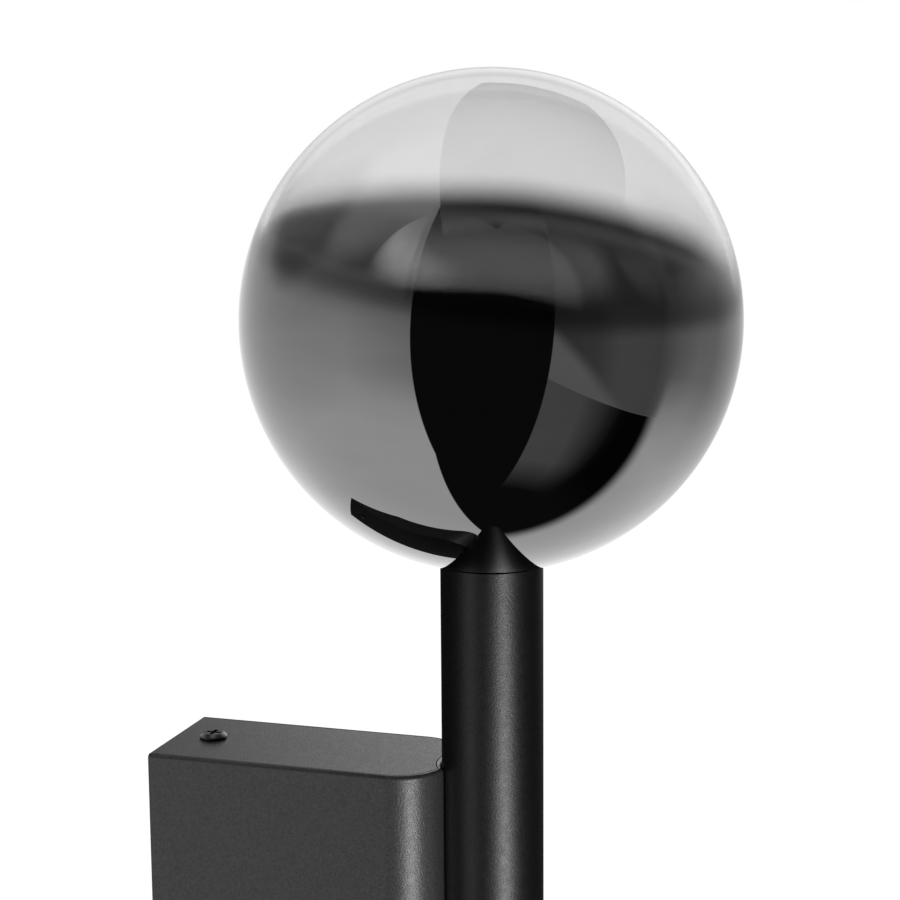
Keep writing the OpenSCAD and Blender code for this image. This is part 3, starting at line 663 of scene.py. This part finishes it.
def smooth(context, piece):
    """Shades a piece smooth up to its real edges, with its flat faces kept flat."""
    only(context, piece)
    bpy.ops.object.shade_smooth_by_angle(angle=EDGE_ANGLE)
    apply_modifier(context, piece, "WEIGHTED_NORMAL", keep_sharp=True)


def settle(piece, node, material):
    """Gives a piece its finish and lets it stand for its CAD node and ride on its body."""
    piece.data.materials.clear()
    piece.data.materials.append(material)
    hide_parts(node)
    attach(piece, body_of(node))


def copy_of(context, node):
    """A copy of a CAD node with its triangles merged and its flat faces joined."""
    source = frame["nodes"][node]
    piece = bpy.data.objects.new(node + "_finished", source.data.copy())
    context.scene.collection.objects.link(piece)
    only(context, piece)
    if piece.data.has_custom_normals:
        bpy.ops.mesh.customdata_custom_splitnormals_clear()
    bpy.ops.object.mode_set(mode="EDIT")
    bpy.ops.mesh.select_all(action="SELECT")
    bpy.ops.mesh.remove_doubles(threshold=MERGE_DISTANCE)
    bpy.ops.mesh.select_all(action="SELECT")
    bpy.ops.mesh.dissolve_limited(angle_limit=FLAT_ANGLE)
    bpy.ops.object.mode_set(mode="OBJECT")
    return piece


def dress(context, node, rounding, segments=2):
    """Makes the finished copy of a CAD node, its sharp edges rounded."""
    piece = copy_of(context, node)
    apply_modifier(context, piece, "BEVEL", width=rounding, segments=segments,
                   limit_method="ANGLE", angle_limit=EDGE_ANGLE, use_clamp_overlap=True)
    smooth(context, piece)
    settle(piece, node, finish_of(slot_of(node), context))


def finish_only(context, node):
    """Gives a CAD node that keeps its shape its finish."""
    material = finish_of(slot_of(node), context)
    for material_slot in frame["nodes"][node].material_slots:
        material_slot.material = material


def outer_rim_edges(mesh):
    """Edges of the wrap's outer top and bottom: a flat end meets a wall that faces out."""
    reach = (WRAP_HIGH - WRAP_LOW).length
    tree = BVHTree.FromBMesh(mesh)
    chosen = []
    for edge in mesh.edges:
        if len(edge.link_faces) != 2:
            continue
        ends = [f for f in edge.link_faces if abs(f.normal.z) > LEVEL_FACE]
        walls = [f for f in edge.link_faces if abs(f.normal.z) < UPRIGHT_FACE]
        middle = (edge.verts[0].co + edge.verts[1].co) / 2
        if len(ends) != 1 or len(walls) != 1 or abs(middle.z) < WRAP_HIGH.z - RIM_BAND:
            continue
        normal = walls[0].normal
        if normal.y > REAR_FACE:
            continue
        # a wall faces out if nothing stands before it
        start = middle + normal * PROBE_START
        start.z -= math.copysign(PROBE_DROP, middle.z)
        if tree.ray_cast(start, normal, reach)[0] is None:
            chosen.append(edge)
    return chosen


class SCONCE_OT_housing(bpy.types.Operator):
    """Sheet-metal housing: the wrap with its rolled shoulders and the two flush covers"""

    bl_idname = "sconce.housing"
    bl_label = "Housing"

    def execute(self, context):
        sizes = context.scene.sconce_sizes
        wrap = copy_of(context, "housing_wrap")
        only(context, wrap)
        bpy.ops.object.mode_set(mode="EDIT")
        bpy.ops.mesh.select_mode(type="EDGE")
        bpy.ops.mesh.select_all(action="DESELECT")
        mesh = bmesh.from_edit_mesh(wrap.data)
        mesh.normal_update()
        chosen = outer_rim_edges(mesh)
        if not chosen:
            raise RuntimeError("the wrap's outer rim was not found")
        for edge in chosen:
            edge.select = True
        bmesh.update_edit_mesh(wrap.data)
        bpy.ops.mesh.bevel(offset=sizes.shoulder_round, segments=4, clamp_overlap=True)
        bpy.ops.object.mode_set(mode="OBJECT")
        smooth(context, wrap)
        settle(wrap, "housing_wrap", finish_of("charcoal_powder", context))
        for node in ("top_plate", "bottom_plate"):
            dress(context, node, sizes.edge_round)
        return {"FINISHED"}


class SCONCE_OT_tube(bpy.types.Operator):
    """Upright tube with its cap"""

    bl_idname = "sconce.tube"
    bl_label = "Tube"

    def execute(self, context):
        sizes = context.scene.sconce_sizes
        dress(context, "tube", sizes.rim_round, segments=3)
        dress(context, "bottom_cap", sizes.edge_round)
        return {"FINISHED"}


class SCONCE_OT_globe(bpy.types.Operator):
    """Closed blown globe with its wall of glass"""

    bl_idname = "sconce.globe"
    bl_label = "Globe"

    def execute(self, context):
        sizes = context.scene.sconce_sizes
        bpy.ops.object.select_all(action="DESELECT")
        bpy.ops.mesh.primitive_circle_add(
            vertices=sizes.globe_segments, radius=GLOBE_RADIUS, fill_type="NOTHING",
            location=GLOBE_CENTRE, rotation=(math.pi / 2, 0, 0),
        )
        globe = context.active_object
        globe.name = "blown_globe"
        globe.data.name = "blown_globe"
        bpy.ops.object.transform_apply(location=True, rotation=True, scale=True)
        bpy.ops.object.mode_set(mode="EDIT")
        bpy.ops.mesh.select_mode(type="VERT")
        bpy.ops.mesh.select_all(action="DESELECT")
        mesh = bmesh.from_edit_mesh(globe.data)
        half_step = GLOBE_RADIUS * math.sin(math.pi / sizes.globe_segments)
        for vertex in mesh.verts:
            vertex.select = vertex.co.x < GLOBE_CENTRE.x - half_step
        mesh.select_flush(True)
        bmesh.update_edit_mesh(globe.data)
        bpy.ops.mesh.delete(type="VERT")
        bpy.ops.mesh.select_all(action="SELECT")
        bpy.ops.mesh.spin(steps=sizes.globe_segments, angle=2 * math.pi, center=GLOBE_CENTRE,
                          axis=(0, 0, 1))
        bpy.ops.mesh.select_all(action="SELECT")
        bpy.ops.mesh.remove_doubles(threshold=POLE_MERGE)
        bpy.ops.mesh.select_all(action="SELECT")
        bpy.ops.mesh.normals_make_consistent(inside=False)
        bpy.ops.object.mode_set(mode="OBJECT")
        apply_modifier(context, globe, "SOLIDIFY", thickness=sizes.glass_wall, offset=-1,
                       use_even_offset=True)
        bpy.ops.object.shade_smooth()
        settle(globe, "globe", finish_of("mirrored_glass", context))
        return {"FINISHED"}


class SCONCE_OT_seat(bpy.types.Operator):
    """Ring that the globe rests on, and the cup that holds it in the tube's mouth"""

    bl_idname = "sconce.seat"
    bl_label = "Seat"

    def execute(self, context):
        sizes = context.scene.sconce_sizes
        dress(context, "seat_ring", sizes.edge_round)
        dress(context, "seat_cup", sizes.fine_round)
        return {"FINISHED"}


class SCONCE_OT_screws(bpy.types.Operator):
    """Cover screws, grub screws and the small screws inside"""

    bl_idname = "sconce.screws"
    bl_label = "Screws"

    def execute(self, context):
        sizes = context.scene.sconce_sizes
        dress(context, "cover_screws", sizes.fine_round)
        for node in ("set_screws", "cup_screws", "driver_screws", "block_screws",
                     "terminal_screws", "terminal_fixing_screw", "earth_screw"):
            finish_only(context, node)
        return {"FINISHED"}


class SCONCE_OT_wall_parts(bpy.types.Operator):
    """Wall bracket with its bush, washer and pads"""

    bl_idname = "sconce.wall_parts"
    bl_label = "Wall parts"

    def execute(self, context):
        sizes = context.scene.sconce_sizes
        dress(context, "wall_bracket", sizes.edge_round)
        dress(context, "cable_bush", sizes.edge_round)
        for node in ("earth_washer", "backing_pad", "nipple_washer", "nipple_nut",
                     "hollow_nipple", "tube_block"):
            dress(context, node, sizes.fine_round)
        return {"FINISHED"}


class SCONCE_OT_wiring(bpy.types.Operator):
    """Driver, terminal block and leads"""

    bl_idname = "sconce.wiring"
    bl_label = "Wiring"

    def execute(self, context):
        sizes = context.scene.sconce_sizes
        for node in ("driver_case", "driver_lid", "terminal_block"):
            dress(context, node, sizes.edge_round)
        for node in ("mains_leads", "lamp_cable"):
            finish_only(context, node)
        return {"FINISHED"}


class SCONCE_OT_light_source(bpy.types.Operator):
    """Heat sink, board, reflector and lens in the tube's top"""

    bl_idname = "sconce.light_source"
    bl_label = "Light source"

    def execute(self, context):
        sizes = context.scene.sconce_sizes
        for node in ("heat_sink", "led_board", "reflector", "lens", "lens_clip", "led_chip",
                     "thermal_pad"):
            dress(context, node, sizes.fine_round)
        return {"FINISHED"}


def bearing(degrees, elevation, studio):
    """Direction seen from the globe: bearing from the camera's side, to its right."""
    turn = studio.camera_turn
    toward = Vector((math.sin(turn), -math.cos(turn), 0))
    right = Vector((math.cos(turn), math.sin(turn), 0))
    flat = toward * math.cos(math.radians(degrees)) + right * math.sin(math.radians(degrees))
    rise = math.radians(elevation)
    return flat * math.cos(rise) + Vector((0, 0, math.sin(rise)))


def toward_place(tree, sky, degrees, elevation):
    """How nearly a ray points to a place in the studio: 1 is straight at it."""
    place = bearing(degrees, elevation, sky.studio)
    near = put(tree, "VectorMath", {0: sky.direction, 1: place}, operation="DOT_PRODUCT")
    return near.outputs["Value"]


def where(tree, *masks, but_not=None):
    """A mask that is 1 where all the masks are 1 and the last one, if given, is 0."""
    result = masks[0]
    for mask in masks[1:]:
        result = put(tree, "Math", {0: result, 1: mask}, operation="MULTIPLY").outputs["Value"]
    if but_not is not None:
        rest = put(tree, "Math", {0: 1.0, 1: but_not}, operation="SUBTRACT").outputs["Value"]
        result = put(tree, "Math", {0: result, 1: rest}, operation="MULTIPLY").outputs["Value"]
    return result


def layered(tree, base, *layers):
    """The base level with others laid over it in turn, each where its mask is 1."""
    level = base
    for mask, over in layers:
        level = put(tree, "Mix", {"Factor": mask, "A": level, "B": over}).outputs["Result"]
    return level


def studio_sky(tree, studio):
    """What the studio's pattern is drawn by: a ray's direction, height and bearing."""
    sky = SimpleNamespace(studio=studio)
    sky.direction = put(tree, "TexCoord").outputs["Generated"]
    sky.rise = put(tree, "SeparateXYZ", {"Vector": sky.direction}).outputs["Z"]
    sky.above = put(tree, "Math", {0: sky.rise, 1: 0.0},
                    operation="GREATER_THAN").outputs["Value"]
    sky.below = put(tree, "Math", {0: 0.0, 1: sky.rise},
                    operation="GREATER_THAN").outputs["Value"]
    sky.toward = toward_place(tree, sky, 0, 0)
    turn = put(tree, "Math", {0: toward_place(tree, sky, 90, 0), 1: sky.toward},
               operation="ARCTAN2")
    sky.turned = put(tree, "Math", {0: turn.outputs["Value"], 1: math.degrees(1)},
                     operation="MULTIPLY").outputs["Value"]
    return sky


def studio_shapes(tree, sky):
    """The shapes that the globe mirrors: the dark opening, the box beside it, the dark
    floor and the strip of ceiling."""
    sides = {}
    for name, (first, second, inside, soft) in STUDIO_EDGES.items():
        normal = bearing(*first, sky.studio).cross(bearing(*second, sky.studio)).normalized()
        if normal.dot(bearing(*inside, sky.studio)) < 0:
            normal = -normal
        side = put(tree, "VectorMath", {0: sky.direction, 1: normal}, operation="DOT_PRODUCT")
        mask = put(tree, "MapRange", {"From Min": -soft, "From Max": soft,
                                      "Value": side.outputs["Value"]},
                   interpolation_type="SMOOTHSTEP")
        sides[name] = mask.outputs["Result"]
    shapes = SimpleNamespace()
    shapes.strip = where(tree, sides["ceiling_left"], sides["ceiling_right"],
                         sides["ceiling_back"], sides["ceiling_front"])
    shapes.gap = where(tree, sides["gap_left"], sides["gap_right"], sky.above,
                       but_not=shapes.strip)
    shapes.through_gap = where(tree, sides["through_gap_left"], sides["gap_right"], sky.above)
    shapes.box = where(tree, sides["right_of_gap"], sides["box_right"], sides["box_bottom"])
    shapes.box_upper = sides["box_upper"]
    floor_side = put(tree, "Math", {0: sides["floor_left"], 1: sides["gap_left"]},
                     operation="MAXIMUM")
    shapes.floor = where(tree, floor_side.outputs["Value"], sides["floor_back"], sky.below,
                         but_not=shapes.box)
    shapes.right_of_gap = sides["right_of_gap"]
    return shapes


def wall_level(tree, sky, by_turn):
    """How bright the studio's walls are in each direction, as the globe mirrors them."""
    low_part = put(tree, "MapRange", {**EVEN_BELOW, "Value": sky.rise})
    high_part = put(tree, "MapRange", {**EVEN_ABOVE, "Value": sky.rise})
    even = put(tree, "Math", {0: low_part.outputs["Result"], 1: high_part.outputs["Result"]},
               operation="MAXIMUM")
    turn_share = layered(tree, by_turn, (even.outputs["Value"], WHITE_LEVEL))
    plain = put(tree, "Math", {0: graded(tree, sky.rise, WALL_BY_HEIGHT), 1: turn_share},
                operation="MULTIPLY")
    dull = put(tree, "MapRange",
               {**DULL_EDGE, "Value": toward_place(tree, sky, *DULL_PLACE)},
               interpolation_type="SMOOTHSTEP")
    walls = put(tree, "Math", {0: plain.outputs["Value"], 1: dull.outputs["Result"]},
                operation="MULTIPLY")
    behind = put(tree, "MapRange", {**REAR_EDGE, "Value": sky.toward})
    layers = [(where(tree, behind.outputs["Result"], sky.above), REAR_LEVEL)]
    for degrees, elevation, level in WINDOWS:
        part = put(tree, "MapRange",
                   {**WINDOW_EDGE, "Value": toward_place(tree, sky, degrees, elevation)},
                   interpolation_type="SMOOTHSTEP")
        layers.append((part.outputs["Result"], level))
    return layered(tree, walls.outputs["Value"], *layers)


def through_level(tree, sky):
    """How bright the studio is to light that has passed through the globe's clear top."""
    low_side = put(tree, "MapRange", {**LIT_SIDE_BELOW, "Value": sky.rise})
    lit_side = where(tree, graded(tree, sky.turned, THROUGH_BY_TURN),
                     low_side.outputs["Result"])
    return layered(tree, graded(tree, sky.rise, THROUGH_BY_HEIGHT), (lit_side, LIT_SIDE_LEVEL))


def studio_world(scene, studio):
    """The studio all round: white walls with the dark opening that the camera stands in."""
    world = bpy.data.worlds.new("studio")
    scene.world = world
    world.use_nodes = True
    tree = world.node_tree
    tree.nodes.clear()
    sky = studio_sky(tree, studio)
    shapes = studio_shapes(tree, sky)
    by_turn = graded(tree, sky.turned, WALL_BY_TURN)
    # the floor has a soft sheen beside the opening, but not straight below the globe
    off_nadir = put(tree, "MapRange", {**FLOOR_OFF_NADIR, "Value": sky.rise})
    sheen_part = where(tree, shapes.right_of_gap, off_nadir.outputs["Result"])
    sheen = graded(tree, sky.turned, FLOOR_BY_TURN)
    low_shapes = (
        (shapes.box, layered(tree, BOX_LEVEL, (shapes.box_upper, by_turn))),
        (shapes.floor, layered(tree, DARK_LEVEL, (sheen_part, sheen))),
    )
    mirrored = layered(tree, wall_level(tree, sky, by_turn), *low_shapes,
                       (shapes.gap, DARK_LEVEL), (shapes.strip, CEILING_LEVEL))
    # rough metal sees one broad soft light behind the lamp
    glow = put(tree, "MapRange",
               {**GLOW_EDGE, "Value": toward_place(tree, sky, *GLOW_PLACE)},
               interpolation_type="SMOOTHSTEP")
    path = put(tree, "LightPath")
    turns = path.outputs["Glossy Depth"]
    passed = layered(tree, through_level(tree, sky), *low_shapes,
                     (shapes.through_gap, DARK_LEVEL))
    inside = put(tree, "Math", {0: passed, 1: graded(tree, turns, LEFT_AFTER_TURNS)},
                 operation="MULTIPLY")
    # what passes straight through the globe, with no turn in it, sees the white room
    turned_once = put(tree, "Math", {0: turns, 1: 0.5}, operation="GREATER_THAN")
    through = layered(tree, WHITE_LEVEL,
                      (turned_once.outputs["Value"], inside.outputs["Value"]))
    glossy = layered(tree, glow.outputs["Result"], (path.outputs["Is Singular Ray"], mirrored))
    level = layered(tree, studio.room_light, (path.outputs["Is Glossy Ray"], glossy),
                    (path.outputs["Is Transmission Ray"], through),
                    (path.outputs["Is Camera Ray"], WHITE_LEVEL))
    back = put(tree, "Background", {"Color": (1, 1, 1, 1), "Strength": level})
    put(tree, "OutputWorld", {"Surface": back.outputs[0]})


def pale_floor(context, studio):
    """A pale floor well below the lamp, which keeps its soft shadow."""
    bpy.ops.object.select_all(action="DESELECT")
    height = TUBE_LOW.z - studio.floor_drop
    bpy.ops.mesh.primitive_plane_add(size=studio.floor_size, location=(0, 0, height))
    floor = context.active_object
    floor.name = "studio_floor"
    bpy.ops.object.transform_apply(location=True, rotation=True, scale=True)
    bpy.ops.object.mode_set(mode="EDIT")
    bpy.ops.mesh.select_all(action="SELECT")
    bpy.ops.mesh.subdivide(number_cuts=FLOOR_CUTS)
    bpy.ops.object.mode_set(mode="OBJECT")
    material = bpy.data.materials.new("pale_floor")
    material.use_nodes = True
    tree = material.node_tree
    tree.nodes.clear()
    path = put(tree, "LightPath")
    paint = put(tree, "BsdfDiffuse", {"Color": with_alpha(linear(FLOOR_HEX))})
    lift = put(tree, "Math", {0: path.outputs["Is Camera Ray"], 1: FLOOR_GLOW},
               operation="MULTIPLY")
    glow = put(tree, "Emission", {"Strength": lift.outputs["Value"]})
    both = put(tree, "AddShader", {0: paint.outputs[0], 1: glow.outputs[0]})
    end_finish(tree, both)
    floor.data.materials.append(material)
    floor.visible_glossy = False
    floor.visible_transmission = False
    floor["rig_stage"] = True
    return floor


def area_light(context, name, place, aim, width, height, power, lit):
    """A soft rectangular lamp that lights only the given objects."""
    bpy.ops.object.select_all(action="DESELECT")
    bpy.ops.object.light_add(type="AREA", location=place)
    lamp = context.active_object
    lamp.name = name
    lamp.data.shape = "RECTANGLE"
    lamp.data.size = width
    lamp.data.size_y = height
    lamp.data.energy = power
    lamp.rotation_mode = "QUATERNION"
    lamp.rotation_quaternion = (aim - place).to_track_quat("-Z", "Y")
    group = bpy.data.collections.new(name + "_lights")
    for lit_object in lit:
        group.objects.link(lit_object)
    lamp.light_linking.receiver_collection = group
    lamp.visible_camera = False


def finish_of_piece(piece):
    """Name of the first finish on a piece, or nothing."""
    slots = piece.material_slots
    return slots[0].material.name if slots and slots[0].material else ""


def studio_lamps(context, studio, floor):
    """The lamps: all light the pieces and the floor but not the glass, whose lights are in
    the world, and one behind lights the bare metals alone."""
    shown = [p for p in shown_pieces() if not p.name.startswith("blown_globe")]
    tube_middle = Vector((0, (TUBE_LOW.y + TUBE_HIGH.y) / 2, 0))
    powers = (studio.key_power, studio.fill_power, studio.top_power)
    for power, (name, lamp) in zip(powers, LAMPS.items()):
        degrees, distance, lift, width, height = lamp
        place = tube_middle + bearing(degrees, 0, studio) * distance + Vector((0, 0, lift))
        area_light(context, name, place, tube_middle, width, height, power, shown + [floor])
    metal = [p for p in shown if finish_of_piece(p) in BARE_METALS]
    area_light(context, "wall_side_light", tube_middle + Vector(WALL_LAMP_PLACE), tube_middle,
               *WALL_LAMP_SIZE, studio.wall_side_power, metal)


def photo_camera(context, studio):
    """The camera at the photograph's viewing angle."""
    back = bearing(0, math.degrees(studio.camera_down), studio)
    right = bearing(90, 0, studio)
    up = back.cross(right)
    roll = studio.camera_roll
    across = right * math.cos(roll) + up * math.sin(roll)
    upward = up * math.cos(roll) - right * math.sin(roll)
    bpy.ops.object.camera_add()
    camera = context.active_object
    camera.name = "photo_camera"
    camera.data.sensor_width = SENSOR_WIDTH_MM
    camera.data.lens = studio.camera_lens
    turned = Matrix((across, upward, back)).transposed().to_4x4()
    turned.translation = Vector(studio.camera_place)
    camera.matrix_world = turned
    context.scene.camera = camera


class SCONCE_OT_stage(bpy.types.Operator):
    """Floor, studio light and camera"""

    bl_idname = "sconce.stage"
    bl_label = "Stage"

    def execute(self, context):
        scene = context.scene
        studio = scene.sconce_studio
        scene.view_settings.view_transform = "Standard"
        studio_world(scene, studio)
        floor = pale_floor(context, studio)
        studio_lamps(context, studio, floor)
        photo_camera(context, studio)
        return {"FINISHED"}


class SCONCE_PT_panel(bpy.types.Panel):
    """Sidebar panel with the sizes, finishes and steps"""

    bl_idname = "SCONCE_PT_panel"
    bl_label = "Globe wall sconce"
    bl_space_type = "VIEW_3D"
    bl_region_type = "UI"
    bl_category = "Sconce"

    def draw(self, context):
        for group in (context.scene.sconce_sizes, context.scene.sconce_finishes,
                      context.scene.sconce_studio):
            box = self.layout.box()
            for name in group.__annotations__:
                box.prop(group, name)
        for operator in OPERATORS:
            self.layout.operator(operator.bl_idname)


OPERATORS = (
    SCONCE_OT_housing,
    SCONCE_OT_tube,
    SCONCE_OT_globe,
    SCONCE_OT_seat,
    SCONCE_OT_screws,
    SCONCE_OT_wall_parts,
    SCONCE_OT_wiring,
    SCONCE_OT_light_source,
    SCONCE_OT_stage,
)
GROUPS = (
    ("sconce_sizes", SconceSizes),
    ("sconce_finishes", SconceFinishes),
    ("sconce_studio", SconceStudio),
)


def register():
    """Makes the groups, operators and panel known to Blender."""
    for name, group in GROUPS:
        bpy.utils.register_class(group)
        setattr(bpy.types.Scene, name, PointerProperty(type=group))
    for kind in (*OPERATORS, SCONCE_PT_panel):
        bpy.utils.register_class(kind)


def unregister():
    """Takes them away again."""
    for kind in reversed((*OPERATORS, SCONCE_PT_panel)):
        bpy.utils.unregister_class(kind)
    for name, group in reversed(GROUPS):
        delattr(bpy.types.Scene, name)
        bpy.utils.unregister_class(group)


def main():
    """Builds the sconce and its studio."""
    register()
    bpy.ops.sconce.housing()
    bpy.ops.sconce.tube()
    bpy.ops.sconce.globe()
    bpy.ops.sconce.seat()
    bpy.ops.sconce.screws()
    bpy.ops.sconce.wall_parts()
    bpy.ops.sconce.wiring()
    bpy.ops.sconce.light_source()
    bpy.ops.sconce.stage()


if __name__ == "__main__":
    main()
